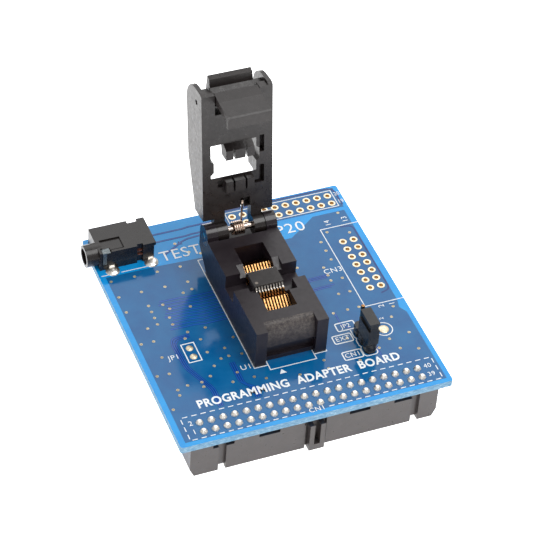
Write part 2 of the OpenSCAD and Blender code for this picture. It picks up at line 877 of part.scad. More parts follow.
module latch() {
    color("#4a4546")
    lid_place()
    difference() {
        lid_across(latch_w)
            polygon([
                [nose_tip_u + 3.0, 4.0], [nose_tip_u + 4.8, 4.3], [nose_tip_u + 5.3, 5.4],
                [nose_tip_u + 1.9, 6.4], [latch_u - 0.6, 5.6], [latch_u - 1.5, 4.4],
                [latch_u - 1.5, 2.8], [latch_u - 0.3, 1.9], [plate_in_u + 0.5, 0.4],
                [plate_in_u, hook_top_w], [lip_in_u, hook_top_w], [lip_in_u, hook_top_w - lip_t],
                [plate_in_u + 1.1, hook_top_w - lip_t], [plate_in_u + 1.35, hook_top_w - lip_t + 0.35],
                [plate_in_u + 2.0, -1.25], [plate_in_u + 2.7, 1.5], [nose_tip_u + 2.2, 2.7]
            ]);
        translate([0, -latch_u, latch_w_axis]) rod(latch_pin_r + pin_fit, -sock_w, sock_w);
        // slot for the latch spring, open towards the hinge
        lid_block(
            [-latch_slot, boss_u0, latch_w_axis - 1.35],
            [latch_slot, latch_u + 1.35, latch_w_axis + 1.35]
        );
    }
}

module latch_pin() {
    color("silver")
    lid_place()
        translate([0, -latch_u, latch_w_axis]) rod(latch_pin_r, -lid_w / 2 + 0.3, lid_w / 2 - 0.3);
}

module latch_spring() {
    color("silver")
    lid_place()
        translate([latch_spring_x0, -latch_u, latch_w_axis])
            torsion_spring(
                latch_spring_turns, 90, latch_spring_r, latch_spring_wire, latch_spring_pitch,
                latch_spring_leg_lid, latch_spring_leg_hook, 12, 6
            );
}

// ---------------------------------------------------------------- chip

module chip_body() {
    color("#2b2727")
    translate([-chip_l / 2, chip_y - chip_d / 2, top + chip_seat + 0.1])
        cube([chip_l, chip_d, chip_t]);
}

// Gull-wing leads: out of the body, down, and out again to a flat foot
module lead_row(side) {
    z = top + chip_seat;
    thick = 0.15;
    lead_spots(side)
        across(lead_w)
            polygon([
                [-chip_d / 2, z + 0.6], [-chip_d / 2 - 0.25, z + 0.6],
                [-chip_span / 2 + 0.45, z], [-chip_span / 2, z], [-chip_span / 2, z + thick],
                [-chip_span / 2 + 0.5, z + thick], [-chip_d / 2 - 0.2, z + 0.6 + thick],
                [-chip_d / 2, z + 0.6 + thick]
            ]);
}

module chip_leads_front() {
    color("silver") lead_row(-1);
}

module chip_leads_rear() {
    color("silver") lead_row(1);
}

// ---------------------------------------------------------------- jack

module jack_housing() {
    x1 = jack_x0 + jack_l;
    color("#2c2828")
    difference() {
        union() {
            block([jack_x0, jack_y0, top], [x1 - 0.4, jack_y1, top + jack_h]);
            block([jack_x0, jack_y0, top + jack_h - 0.8], [x1, jack_y1, top + jack_h]);
            translate([0, jack_axis_y, jack_axis_z]) rod(barrel_r, jack_x0 - barrel_l, jack_x0 + 1);
        }
        translate([0, jack_axis_y, jack_axis_z])
            rod(jack_bore_r, jack_x0 - barrel_l - 1, jack_x0 - barrel_l + jack_bore_l);
        // chamber behind the bore for the two springs, open to it through a slot
        block([chamber_x0, jack_axis_y + 2.1, top + chamber_z0], [chamber_x1, chamber_y1, top + chamber_z1]);
        block(
            [chamber_x0, jack_axis_y, jack_axis_z - slot_half],
            [chamber_x1, chamber_y1, jack_axis_z + slot_half]
        );
        // notches seen from above
        block([x1 - 4, jack_y1 - 0.8, top - 1], [x1 - 1.8, jack_y1 + 1, top + jack_h + 1]);
        block(
            [jack_x0 + 0.5, jack_y0 - 1, top + jack_h - 0.5],
            [jack_x0 + 2.6, jack_y0 + 1.7, top + jack_h + 1]
        );
        block([jack_x0 + 0.5, jack_y0 - 1, top + 1.2], [jack_x0 + 1.7, jack_y0 + 0.35, top + jack_h + 1]);
        block([x1 - 4.2, jack_y0 - 1, top - 1], [x1 - 2.9, jack_y0 + 0.6, top + jack_h + 1]);
        // sunk panel in the top face, with a deeper strip along its front
        block(
            [jack_x0 + 1, jack_y0 + 1, top + jack_h - panel_d],
            [jack_x0 + panel_l, jack_y0 + 4.2, top + jack_h + 1]
        );
        block(
            [jack_x0 + 2.5, jack_y0 + 0.6, top + jack_h - 2 * panel_d],
            [jack_x0 + panel_l, jack_y0 + 1.1, top + jack_h + 1]
        );
    }
}

module jack_ground_contact() {
    z = top + jack_h - 0.5;
    color("silver") {
        block([jack_x0 + 0.7, jack_y0 + 0.1, z], [jack_x0 + 2.4, jack_y0 + 1.6, z + 0.2]);
        block([jack_x0 + 0.7, jack_y0 + 0.1, top + 1.3], [jack_x0 + 1.6, jack_y0 + 0.3, z + 0.2]);
    }
}

// Two contact ends seen in the slot of the front face
module jack_side_contacts() {
    x1 = jack_x0 + jack_l - 2.9;
    color("goldenrod")
    for (h = [1.9, 3.0])
        block([x1 - 1.3, jack_y0 + 0.3, top + h], [x1, jack_y0 + 0.6, top + h + 0.25]);
}

// A flat spring along the chamber, bowed towards the bore
module jack_spring(x0, x1, bow) {
    y = chamber_y1;
    reach = jack_axis_y + jack_bore_r + 0.08;
    translate([0, 0, jack_axis_z])
        linear_extrude(1.0, center = true)
            polygon([
                [x0, y], [x0, y - 0.25], [bow - 1.1, y - 0.3], [bow, reach],
                [bow + 0.8, reach + 0.7], [bow + 0.8, reach + 0.95], [bow, reach + 0.3],
                [bow - 1.0, y]
            ]);
}

module jack_tip_spring() {
    color("goldenrod") jack_spring(chamber_x0 + 4.6, chamber_x1, chamber_x1 - 1.4);
}

module jack_ring_contact() {
    color("goldenrod") jack_spring(chamber_x0 + 0.1, chamber_x1, chamber_x0 + 2.6);
}

module jack_tab_spots() {
    for (x = tab_x, s = [0, 1])
        translate([x, s ? jack_y1 : jack_y0, 0]) mirror([0, s, 0]) children();
}

module jack_tabs() {
    color("silver")
    jack_tab_spots() {
        block([-tab_w / 2, -tab_foot, top + 0.05], [tab_w / 2, 0, top + 0.05 + tab_t]);
        block([-tab_w / 2, -tab_t, top + 0.05], [tab_w / 2, 0, top + tab_h]);
    }
}

module jack_solder_joints() {
    color("silver")
    jack_tab_spots()
        difference() {
            translate([0, -tab_foot / 2, top])
                rotate_extrude()
                    polygon([
                        [0, 0], [blob_r, 0], [blob_r * 0.9, 0.25], [blob_r * 0.6, 0.55], [0, blob_h]
                    ]);
            block([-3, 0, top - 1], [3, 3, top + 3]);
            block([-tab_w / 2, -tab_foot, top + 0.05], [tab_w / 2, 0.1, top + 0.05 + tab_t]);
            block([-tab_w / 2, -tab_t, top + 0.05], [tab_w / 2, 0.1, top + tab_h]);
        }
}

// ---------------------------------------------------------------- shunt header

module header_insulator() {
    h = jp_body / 2;
    color("#2c2828")
    difference() {
        header_spots()
            translate([0, 0, top])
                linear_extrude(jp_h)
                    polygon([
                        [-h, -pitch / 2 + cell_cut], [-h + cell_cut, -pitch / 2],
                        [h - cell_cut, -pitch / 2], [h, -pitch / 2 + cell_cut],
                        [h, pitch / 2 - cell_cut], [h - cell_cut, pitch / 2],
                        [-h + cell_cut, pitch / 2], [-h, pitch / 2 - cell_cut]
                    ]);
        header_spots() pin(top - 1, top + jp_h + 1);
    }
}

module pin(z0, z1) {
    block([-pin_sq / 2, -pin_sq / 2, z0], [pin_sq / 2, pin_sq / 2, z1]);
}

module header_pins() {
    color("goldenrod")
    header_spots() pin(under - pin_down, top + jp_pin_h);
}

module header_solder_joints() {
    color("silver")
    header_spots()
        difference() {
            union() {
                translate([0, 0, under]) cylinder(r = hole_r, h = board_t);
                translate([0, 0, under - solder_down])
                    cylinder(r1 = 0.5, r2 = pad_r, h = solder_down);
            }
            pin(under - 3, top + 3);
        }
}

module shunt_place() {
    translate([jp_x, jp_y - pitch / 2, top]) children();
}

module shunt_housing() {
    z1 = shunt_z0 + shunt_body_h;
    color("#262324")
    shunt_place()
    difference() {
        union() {
            block([-shunt_w / 2, -shunt_l / 2, shunt_z0], [shunt_w / 2, shunt_l / 2, z1]);
            block(
                [-neck_w / 2, -shunt_l / 2, z1 - eps],
                [neck_w / 2, shunt_l / 2, shunt_top - flange_t + eps]
            );
            block(
                [-flange_w / 2, -shunt_l / 2, shunt_top - flange_t],
                [flange_w / 2, shunt_l / 2, shunt_top]
            );
        }
        block(
            [-shunt_slot_w / 2, -shunt_slot_l / 2, 0],
            [shunt_slot_w / 2, shunt_slot_l / 2, shunt_slot_top]
        );
    }
}

module shunt_clip() {
    gap = pin_sq / 2 + 0.02;
    y = shunt_slot_l / 2 - 0.1;
    color("goldenrod")
    shunt_place() {
        for (sx = [-1, 1])
            translate([sx * (gap + clip_t / 2), 0, clip_z0 + clip_h / 2])
                cube([clip_t, 2 * y, clip_h], center = true);
        translate([0, 0, clip_z0 + clip_h / 2])
            cube([2 * gap + clip_t, pitch - pin_sq - 0.5, clip_h - 0.6], center = true);
    }
}

// ---------------------------------------------------------------- nodes

board();
cn1_housing();
cn1_contacts();
cn1_solder_joints();
cn2_plated_holes();
cn3_plated_holes();
jp1_solder_pads();
test_pad();
socket_base();
socket_contacts_front();
socket_contacts_rear();
socket_solder_joints();
hinge_pin();
lid_spring();
socket_lid();
latch();
latch_pin();
latch_spring();
chip_body();
chip_leads_front();
chip_leads_rear();
jack_housing();
jack_ground_contact();
jack_side_contacts();
jack_tip_spring();
jack_ring_contact();
jack_tabs();
jack_solder_joints();
header_insulator();
header_pins();
header_solder_joints();
shunt_housing();
shunt_clip();
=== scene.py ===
"""Looks of the chip socket adapter board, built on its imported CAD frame."""
import json
import math
import random

import bmesh
import bpy
from mathutils import Matrix, Vector


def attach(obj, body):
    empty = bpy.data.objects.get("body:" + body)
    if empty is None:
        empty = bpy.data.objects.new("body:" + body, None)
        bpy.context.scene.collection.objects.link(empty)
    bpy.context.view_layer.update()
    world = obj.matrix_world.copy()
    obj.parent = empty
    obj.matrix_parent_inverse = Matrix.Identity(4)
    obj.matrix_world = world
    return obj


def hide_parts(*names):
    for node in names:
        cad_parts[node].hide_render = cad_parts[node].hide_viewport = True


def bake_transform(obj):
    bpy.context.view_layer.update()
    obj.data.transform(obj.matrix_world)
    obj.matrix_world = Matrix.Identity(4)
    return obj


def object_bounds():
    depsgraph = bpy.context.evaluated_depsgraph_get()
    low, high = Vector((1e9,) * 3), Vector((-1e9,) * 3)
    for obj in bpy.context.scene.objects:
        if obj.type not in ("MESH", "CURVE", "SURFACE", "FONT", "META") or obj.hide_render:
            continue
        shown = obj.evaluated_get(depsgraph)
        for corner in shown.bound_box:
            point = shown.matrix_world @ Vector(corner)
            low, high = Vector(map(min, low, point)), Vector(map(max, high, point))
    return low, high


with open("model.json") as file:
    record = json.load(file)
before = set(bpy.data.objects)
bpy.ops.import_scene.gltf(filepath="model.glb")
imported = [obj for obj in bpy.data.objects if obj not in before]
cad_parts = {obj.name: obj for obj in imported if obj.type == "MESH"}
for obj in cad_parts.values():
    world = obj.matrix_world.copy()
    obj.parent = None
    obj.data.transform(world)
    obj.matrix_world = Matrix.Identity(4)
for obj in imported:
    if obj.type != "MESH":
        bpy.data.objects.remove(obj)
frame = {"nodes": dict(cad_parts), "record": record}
CAD_BOX = [list(c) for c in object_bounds()]
NODES = frame["nodes"]
MM = 0.001
# Places in the row frame, in millimetres
TOP = 10.7  # upper face of the board
CHIP_TOP = TOP + 9.4
PITCH = 2.54
HINGE_Y, HINGE_Z = 43.7, 20.4  # the lid's axis
CN2_X, CN2_Y, CN3_X, CN3_Y = 15.33, 55.73, 25.57, 34.38  # middles of the two empty footprints
rng = random.Random(20)
scene = bpy.context.scene

# ------------------------------------------------------------------ materials


def lin(r, g, b):
    """0-255 sRGB to linear."""
    def one(c):
        c /= 255
        return c / 12.92 if c <= 0.04045 else ((c + 0.055) / 1.055) ** 2.4
    return (one(r), one(g), one(b), 1.0)


class Mat:
    """A Principled material with a few shorthand node makers.

    A value is a constant, set on the socket, or another node's output, linked to it.
    """

    def __init__(self, name, color, rough, metal=0.0):
        self.m = bpy.data.materials.new(name)
        self.m.use_nodes = True
        self.t = self.m.node_tree
        self.p = self.t.nodes["Principled BSDF"]
        self.set("Base Color", color)
        self.set("Roughness", rough)
        self.set("Metallic", metal)
        self.coord = None

    def set(self, name, v):
        self.put(self.p.inputs[name], v)

    def linked(self, name):
        """What now feeds a socket of the shader."""
        return self.p.inputs[name].links[0].from_socket

    def node(self, kind, **props):
        n = self.t.nodes.new(kind)
        for k, v in props.items():
            setattr(n, k, v)
        return n

    def put(self, sock, v):
        if hasattr(v, "is_linked") and hasattr(v, "node"):
            self.t.links.new(v, sock)
        else:
            sock.default_value = v

    def xyz(self):
        """Place in the row frame in millimetres."""
        if self.coord is None:
            c = self.node("ShaderNodeTexCoord")
            m = self.node("ShaderNodeVectorMath", operation="SCALE")
            self.t.links.new(c.outputs["Object"], m.inputs[0])
            m.inputs["Scale"].default_value = 1000.0
            self.coord = m.outputs[0]
        return self.coord

    def stretch(self, sx, sy, sz):
        m = self.node("ShaderNodeVectorMath", operation="MULTIPLY")
        self.put(m.inputs[0], self.xyz())
        m.inputs[1].default_value = (sx, sy, sz)
        return m.outputs[0]

    def noise(self, scale, detail=3.0, rough=0.55, vec=None, distort=0.0):
        n = self.node("ShaderNodeTexNoise")
        self.put(n.inputs["Vector"], vec if vec is not None else self.xyz())
        n.inputs["Scale"].default_value = scale
        n.inputs["Detail"].default_value = detail
        n.inputs["Roughness"].default_value = rough
        n.inputs["Distortion"].default_value = distort
        return n.outputs["Fac"]

    def ramp(self, fac, stops):
        n = self.node("ShaderNodeValToRGB")
        self.put(n.inputs["Fac"], fac)
        e = n.color_ramp.elements
        while len(e) < len(stops):
            e.new(0.5)
        for k, (pos, col) in enumerate(stops):
            e[k].position = pos
            e[k].color = col if len(col) == 4 else (*col, 1)
        return n.outputs["Color"]

    def grey(self, fac, lo, hi, p0=0.3, p1=0.7):
        """fac from p0..p1 mapped to lo..hi, clamped."""
        n = self.node("ShaderNodeMapRange")
        self.put(n.inputs["Value"], fac)
        n.inputs["From Min"].default_value = p0
        n.inputs["From Max"].default_value = p1
        n.inputs["To Min"].default_value = lo
        n.inputs["To Max"].default_value = hi
        return n.outputs["Result"]

    def mix(self, fac, a, b):
        n = self.node("ShaderNodeMix", data_type="RGBA")
        self.put(n.inputs["Factor"], fac)
        self.put(n.inputs[6], a)
        self.put(n.inputs[7], b)
        return n.outputs[2]

    def math(self, op, a, b=0.0):
        n = self.node("ShaderNodeMath", operation=op)
        self.put(n.inputs[0], a)
        self.put(n.inputs[1], b)
        return n.outputs[0]

    def split(self, what=None):
        n = self.node("ShaderNodeSeparateXYZ")
        self.put(n.inputs[0], what if what is not None else self.xyz())
        return n.outputs

    def normal(self):
        return self.split(self.node("ShaderNodeNewGeometry").outputs["Normal"])

    def bump(self, height, strength=0.2, distance=0.02):
        n = self.node("ShaderNodeBump")
        self.put(n.inputs["Height"], height)
        n.inputs["Strength"].default_value = strength
        n.inputs["Distance"].default_value = distance * MM
        self.set("Normal", n.outputs["Normal"])


def moulded(name, color, rough, spread=0.06, grain=0.25, fleck=0.0):
    """Moulded plastic: cloudy colour, fine spark-eroded grain and a little dust."""
    m = Mat(name, color, rough)
    cloud = m.noise(0.35, 4, 0.6)
    fine = m.noise(9.0, 2, 0.5)
    k = 1 + spread * 3
    light = (*(min(1, c * k + 0.004) for c in color[:3]), 1)
    dark = (*(c * (1 - spread * 2) for c in color[:3]), 1)
    base = m.ramp(cloud, [(0.3, dark), (0.7, light)])
    if fleck:
        spots = m.grey(m.noise(5.5, 2, 0.7), 0.0, fleck, 0.68, 0.76)
        base = m.mix(spots, base, (0.32, 0.3, 0.28, 1))
    m.set("Base Color", base)
    m.set("Roughness", m.grey(m.noise(1.1, 4, 0.7), rough - 0.08, rough + 0.1))
    m.bump(fine, grain, 0.012)
    return m


def metal(name, color, dark, rough=0.25, grain=0.15, scale=3.0):
    """Plated or drawn metal: darker patches, uneven polish and a faint grain."""
    m = Mat(name, color, rough, 1.0)
    n = m.noise(scale, 4, 0.65)
    m.set("Base Color", m.ramp(n, [(0.32, dark), (0.6, color)]))
    m.set("Roughness", m.grey(m.noise(scale * 2.3, 3, 0.6), rough - 0.08, rough + 0.14))
    m.bump(m.noise(scale * 4, 3, 0.6), grain, 0.01)
    return m


GOLD = metal("gold_plate", lin(200, 150, 96), lin(84, 52, 28), 0.22)
PAD = metal("plated_pad", lin(244, 234, 208), lin(206, 184, 148), 0.34)
# Painted shade: plating below the board's top face, down inside the hole barrels, is given a darker gold
painted_hole_shade = PAD.math("LESS_THAN", PAD.split()[2], TOP - 0.04)
PAD.set("Base Color", PAD.mix(painted_hole_shade, PAD.linked("Base Color"), lin(196, 160, 104)))
TIN = metal("solder", lin(250, 247, 242), lin(206, 198, 186), 0.3)
STEEL = metal("spring_steel", lin(226, 212, 202), lin(150, 124, 110), 0.16)
COIL = metal("spring_wire", lin(226, 206, 190), lin(150, 118, 100), 0.2)
DULL = metal("dull_steel", lin(132, 140, 142), lin(78, 84, 88), 0.4)
COPPER = metal("copper_blade", lin(214, 132, 104), lin(120, 62, 46), 0.3)
SATIN = moulded("receptacle_plastic", lin(60, 54, 53), 0.34, 0.03, grain=0.12)
SOCKET = moulded("socket_plastic", lin(26, 18, 24), 0.36, 0.06, fleck=0.05)
LID = moulded("lid_plastic", lin(27, 21, 20), 0.32, 0.09, grain=0.15)
JACK = moulded("jack_plastic", lin(23, 18, 17), 0.24, 0.04, grain=0.1)
SHUNT = moulded("shunt_plastic", lin(26, 25, 26), 0.32, 0.04, grain=0.12)
CHIP = moulded("chip_mould", lin(40, 36, 36), 0.5, 0.05, fleck=0.12)


def nose_wear_and_highlight(m, y0, z0, z1):
    """The latch has rubbed the nose: a rougher, speckled patch on its curve, painted paler; the paleness is
    partly wear and partly a painted highlight that fades towards the bottom.
    """
    x, y, z = m.split()[0:3]
    half_width = 5.45
    inside = m.math("LESS_THAN", m.math("ABSOLUTE", x), half_width)
    front = m.math("LESS_THAN", y, y0)
    high = m.math("GREATER_THAN", z, z0)
    patch = m.math("MULTIPLY", m.math("MULTIPLY", inside, front), high)
    speck = m.math("MULTIPLY", m.grey(m.noise(1.5, 6, 0.85), 0.08, 1.0, 0.4, 0.62),
                   m.grey(m.noise(0.5, 2, 0.5), 0.5, 0.95, 0.3, 0.7))
    # Painted highlight: the pale patch is strongest at the top of the curve and fades lower down
    highlight_fade = m.grey(z, 0.35, 1.0, z0, z1)
    amount = m.math("MULTIPLY", m.math("MULTIPLY", patch, highlight_fade), speck)
    old = m.linked("Base Color")
    m.set("Base Color", m.mix(amount, old, lin(102, 95, 89)))
    rough = m.linked("Roughness")
    m.set("Roughness", m.math("ADD", rough, m.math("MULTIPLY", patch, 0.16)))


nose_wear_and_highlight(SOCKET, 15.25, 14.9, 20.3)


def polished_hinge(m):
    """Knuckles and ears are smoother: they carry a sharp streak of light."""
    y, z = m.split()[1:3]
    reach = m.math("POWER", m.math("SUBTRACT", y, HINGE_Y), 2.0)
    reach = m.math("ADD", reach, m.math("POWER", m.math("SUBTRACT", z, HINGE_Z), 2.0))
    radius_squared = 5.8
    near = m.math("LESS_THAN", reach, radius_squared)
    rough = m.linked("Roughness")
    m.set("Roughness", m.math("MULTIPLY", rough, m.math("SUBTRACT", 1.0, m.math("MULTIPLY", near, 0.48))))


polished_hinge(SOCKET)
polished_hinge(LID)

# Solder mask: bare laminate shows brighter than copper pour under it; sawn sides show the glass
BARE, POUR, LINE = lin(2, 138, 212), lin(4, 84, 140), lin(14, 84, 172)


def mask(name, color, light, rough=0.1):
    """Glossy solder mask with the weave of the laminate showing through."""
    m = Mat(name, color, rough)
    cloud = m.noise(0.22, 3, 0.6)
    weave = m.noise(1.6, 2, 0.5, vec=m.stretch(1.0, 1.0, 0.2))
    base = m.ramp(cloud, [(0.3, color), (0.72, light)])
    base = m.mix(m.grey(weave, 0.0, 0.12, 0.45, 0.6), base, light)
    m.set("Base Color", base)
    m.set("Roughness", m.grey(cloud, rough - 0.03, rough + 0.05))
    m.bump(m.noise(0.8, 3, 0.5), 0.05, 0.02)
    return m


MASK = mask("solder_mask", BARE, lin(10, 152, 222))
nz = MASK.normal()[2]
side = MASK.math("LESS_THAN", MASK.math("ABSOLUTE", nz), 0.5)
fibre = MASK.ramp(
    MASK.noise(1.5, 5, 0.8, vec=MASK.stretch(0.7, 0.7, 3.0)),
    [(0.32, lin(50, 98, 134)), (0.5, lin(92, 138, 168)), (0.7, lin(168, 192, 204))],
)
MASK.set("Base Color", MASK.mix(side, MASK.linked("Base Color"), fibre))
MASK.set("Roughness", MASK.math("ADD", MASK.linked("Roughness"), MASK.math("MULTIPLY", side, 0.5)))
POUR_MASK = mask("mask_over_pour", POUR, lin(10, 98, 152))
LINE_MASK = mask("mask_over_trace", LINE, lin(20, 94, 180))
DARK_MASK = mask("mask_over_gap", lin(6, 44, 104), lin(10, 56, 122))
SILK = Mat("silkscreen", lin(236, 240, 242), 0.5)
SILK.set("Base Color", SILK.ramp(SILK.noise(2.2, 4, 0.7),
                                 [(0.3, lin(206, 216, 224)), (0.55, lin(240, 243, 245))]))
SILK.bump(SILK.noise(6.0, 3, 0.6), 0.15, 0.01)
VIA = metal("tented_via", lin(206, 196, 168), lin(140, 124, 96), 0.4)

FINISH = {
    "solder_mask": MASK, "satin_plastic": SATIN, "socket_plastic": SOCKET, "lid_plastic": LID,
    "chip_mould": CHIP, "jack_plastic": JACK, "shunt_plastic": SHUNT, "gold_plate": GOLD,
    "solder": TIN, "spring_steel": STEEL,
}
SPECIAL = {name: PAD for name in ("cn2_plated_holes", "cn3_plated_holes", "jp1_solder_pads", "test_pad")}
SPECIAL["jack_ground_contact"] = DULL
SPECIAL["jack_side_contacts"] = COPPER
TAILS = metal("dipped_tail", lin(200, 150, 96), lin(84, 52, 28), 0.22)
above = TAILS.math("GREATER_THAN", TAILS.split()[2], TOP - 0.1)
TAILS.set("Base Color", TAILS.mix(above, TAILS.linked("Base Color"), lin(244, 240, 234)))
SPECIAL["cn1_contacts"] = TAILS
BEVEL = {
    "socket_base": 0.12, "socket_lid": 0.12, "latch": 0.12, "cn1_housing": 0.08, "jack_housing": 0.1,
    "shunt_housing": 0.12, "header_insulator": 0.1, "chip_body": 0.06, "board": 0.05,
}

for sub in frame["record"]["subparts"]:
    name = sub["node"]
    mat = SPECIAL.get(name, FINISH[sub["material_slot"]])
    mesh = NODES[name].data
    mesh.materials.clear()
    mesh.materials.append(mat.m)
    if name in BEVEL:
        bev = NODES[name].modifiers.new("edge", "BEVEL")
        bev.width = BEVEL[name] * MM
        bev.segments = 2
        bev.limit_method = "ANGLE"
        bev.angle_limit = math.radians(40)
        bev.harden_normals = False

# ------------------------------------------------------------------ makers


def piece(name, verts, faces, mat, body="base", slot="solder_mask", smooth=False):
    """A new mesh piece from millimetres, riding a body unless body is None."""
    me = bpy.data.meshes.new(name)
    me.from_pydata([Vector(v) * MM for v in verts], [], faces)
    bm = bmesh.new()
    bm.from_mesh(me)
    bmesh.ops.recalc_face_normals(bm, faces=bm.faces)
    bm.to_mesh(me)
    bm.free()
    me.materials.append(mat.m)
    if smooth:
        for poly in me.polygons:
            poly.use_smooth = True
    ob = bpy.data.objects.new(name, me)
    scene.collection.objects.link(ob)
    if body:
        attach(ob, body)
    return ob


class Ink:
    """Collects flat shapes between two heights that are laid on the board as thin solids."""

    def __init__(self, z0, z1):
        self.z0, self.z1, self.v, self.f = z0, z1, [], []

    def prism(self, outline):
        """A slab with the given outline."""
        n, k = len(outline), len(self.v)
        self.v += [(x, y, self.z0) for x, y in outline] + [(x, y, self.z1) for x, y in outline]
        self.f += [tuple(k + i for i in reversed(range(n))), tuple(k + n + i for i in range(n))]
        self.f += [(k + i, k + (i + 1) % n, k + n + (i + 1) % n, k + n + i) for i in range(n)]

    def line(self, pts, width, closed=False):
        """A ribbon with mitred corners."""
        p = [Vector(q) for q in pts]
        n = len(p)
        left, right = [], []
        for i in range(n):
            a = p[i - 1] if i or closed else None
            b = p[(i + 1) % n] if i < n - 1 or closed else None
            d0 = (p[i] - a).normalized() if a is not None else None
            d1 = (b - p[i]).normalized() if b is not None else None
            d0, d1 = d0 or d1, d1 or d0
            t = (d0 + d1).normalized()
            m = Vector((-t.y, t.x))
            s = width / 2 / max(0.35, m.dot(Vector((-d1.y, d1.x))))
            left.append(p[i] + m * s)
            right.append(p[i] - m * s)
        k = len(self.v)
        for z in (self.z0, self.z1):
            self.v += [(q.x, q.y, z) for q in left] + [(q.x, q.y, z) for q in right]
        for i in range(n if closed else n - 1):
            j = (i + 1) % n
            l0, l1, r0, r1 = k + i, k + j, k + n + i, k + n + j
            u = 2 * n
            self.f += [(l0, l1, r1, r0), (l0 + u, r0 + u, r1 + u, l1 + u),
                       (l0, l0 + u, l1 + u, l1), (r0, r1, r1 + u, r0 + u)]
        if not closed:
            u = 2 * n
            e = n - 1
            self.f += [(k, k + n, k + n + u, k + u), (k + e, k + e + u, k + n + e + u, k + n + e)]

    def dashes(self, a, b, width, dash, gap):
        """A dashed line from a to b, its pitch fitted to a whole number of dashes."""
        a, b = Vector(a), Vector(b)
        d = b - a
        count = max(1, round(d.length / (dash + gap)))
        pitch = d.length / count
        for i in range(count):
            s = a + d.normalized() * (i * pitch + gap / 2)
            self.line([s, s + d.normalized() * (pitch - gap)], width)

    def disc(self, x, y, r, sides=16):
        """A round slab."""
        self.prism([(x + r * math.cos(2 * math.pi * i / sides), y + r * math.sin(2 * math.pi * i / sides))
                    for i in range(sides)])

    def ring(self, x, y, r, width, sides=28):
        """A ring whose ribbon is width wide."""
        self.line([(x + r * math.cos(2 * math.pi * i / sides), y + r * math.sin(2 * math.pi * i / sides))
                   for i in range(sides)], width, closed=True)

    def done(self, name, mat, **kw):
        """Makes all shapes collected so far into one piece."""
        return piece(name, self.v, self.f, mat, **kw)


def round_path(pts, r, steps=5):
    """Rounds the corners of an open polyline."""
    out = [Vector(pts[0])]
    for a, b, c in zip(pts, pts[1:], pts[2:]):
        a, b, c = Vector(a), Vector(b), Vector(c)
        s = b + (a - b).normalized() * min(r, (a - b).length / 2)
        e = b + (c - b).normalized() * min(r, (c - b).length / 2)
        for i in range(steps + 1):
            t = i / steps
            out.append((1 - t) ** 2 * s + 2 * t * (1 - t) * b + t * t * e)
    out.append(Vector(pts[-1]))
    return out


LETTER_Z = TOP + 0.052  # middle of the printed letters' thickness


def lettering(name, words, weight=0.0):
    """Generic printed lettering: (text, x, y, height, degrees, stretch) centred on x, y."""
    dg = bpy.context.evaluated_depsgraph_get()
    verts, faces = [], []
    for text, x, y, high, turn, stretch in words:
        cu = bpy.data.curves.new("t", "FONT")
        cu.body = text
        cu.align_x = "CENTER"
        cu.align_y = "CENTER"
        cu.size = high / 0.72
        cu.extrude = 0.012
        cu.offset = weight
        cu.resolution_u = 3
        cu.space_character = 1.08
        ob = bpy.data.objects.new("t", cu)
        scene.collection.objects.link(ob)
        bpy.context.view_layer.update()
        me = bpy.data.meshes.new_from_object(ob)
        c, s = math.cos(math.radians(turn)), math.sin(math.radians(turn))
        k = len(verts)
        for v in me.vertices:
            px, py = v.co.x * stretch, v.co.y
            verts.append((x + c * px - s * py, y + s * px + c * py, LETTER_Z + v.co.z))
        faces += [tuple(k + i for i in p.vertices) for p in me.polygons]
        bpy.data.objects.remove(ob)
        bpy.data.meshes.remove(me)
        bpy.data.curves.remove(cu)
    return piece(name, verts, faces, SILK)


# ------------------------------------------------------------------ copper under the mask

HOLES = [(CN2_X + PITCH * (i - 4.5), CN2_Y + PITCH * (j - 0.5)) for i in range(10) for j in (0, 1)]
HOLES += [(CN3_X + PITCH * (j - 0.5), CN3_Y + PITCH * (i - 3)) for i in range(7) for j in (0, 1)]


def sheet(name, outlines, hole_r, z0, z1, mat):
    """A thin sheet with the connectors' holes left open."""
    cu = bpy.data.curves.new("s", "CURVE")
    cu.dimensions = "2D"
    cu.fill_mode = "BOTH"
    cu.extrude = (z1 - z0) / 2
    rounds = [[(x + hole_r * math.cos(math.pi * k / 12), y + hole_r * math.sin(math.pi * k / 12))
               for k in range(24)] for x, y in HOLES]
    for loop in outlines + rounds:
        sp = cu.splines.new("POLY")
        sp.points.add(len(loop) - 1)
        for pt, (x, y) in zip(sp.points, loop):
            pt.co = (x, y, 0, 1)
        sp.use_cyclic_u = True
    ob = bpy.data.objects.new("s", cu)
    scene.collection.objects.link(ob)
    bpy.context.view_layer.update()
    me = bpy.data.meshes.new_from_object(ob)
    verts = [(v.co.x, v.co.y, v.co.z + (z0 + z1) / 2) for v in me.vertices]
    faces = [tuple(p.vertices) for p in me.polygons]
    bpy.data.objects.remove(ob)
    bpy.data.meshes.remove(me)
    bpy.data.curves.remove(cu)
    return piece(name, verts, faces, mat)


MAIN_POUR = [
    (-28.7, -3.0), (28.9, -3.0), (28.9, 17.6), (27.9, 19.4), (28.4, 21.6), (28.6, 46.2), (28.6, 51.6),
    (21.0, 51.6), (16.6, 48.4), (14.0, 46.6), (-10.0, 46.9), (-17.0, 47.2), (-28.7, 47.2),
]
REAR_POUR = [(2.0, 52.7), (28.9, 52.7), (28.9, 59.2), (2.0, 59.2)]
HOLE_R = 0.62  # opening round each hole of the empty footprints
sheet("copper_pour", [MAIN_POUR, REAR_POUR], HOLE_R, TOP, TOP + 0.02, POUR_MASK)

gaps = Ink(TOP + 0.005, TOP + 0.03)
gaps.line(round_path([(1.5, 53.4), (1.5, 59.3), (27.8, 59.3), (28.9, 58.2), (28.9, 53.4)], 0.8), 0.45)
gaps.line(round_path([(25.6, 46.6), (28.3, 46.4), (28.3, 25.2), (26.0, 24.6)], 1.4), 0.4)

lines = Ink(TOP + 0.01, TOP + 0.035)


def trace(pts, width):
    """A trace in its darker clearance channel."""
    gaps.line(pts, width + 0.24)
    lines.line(pts, width)


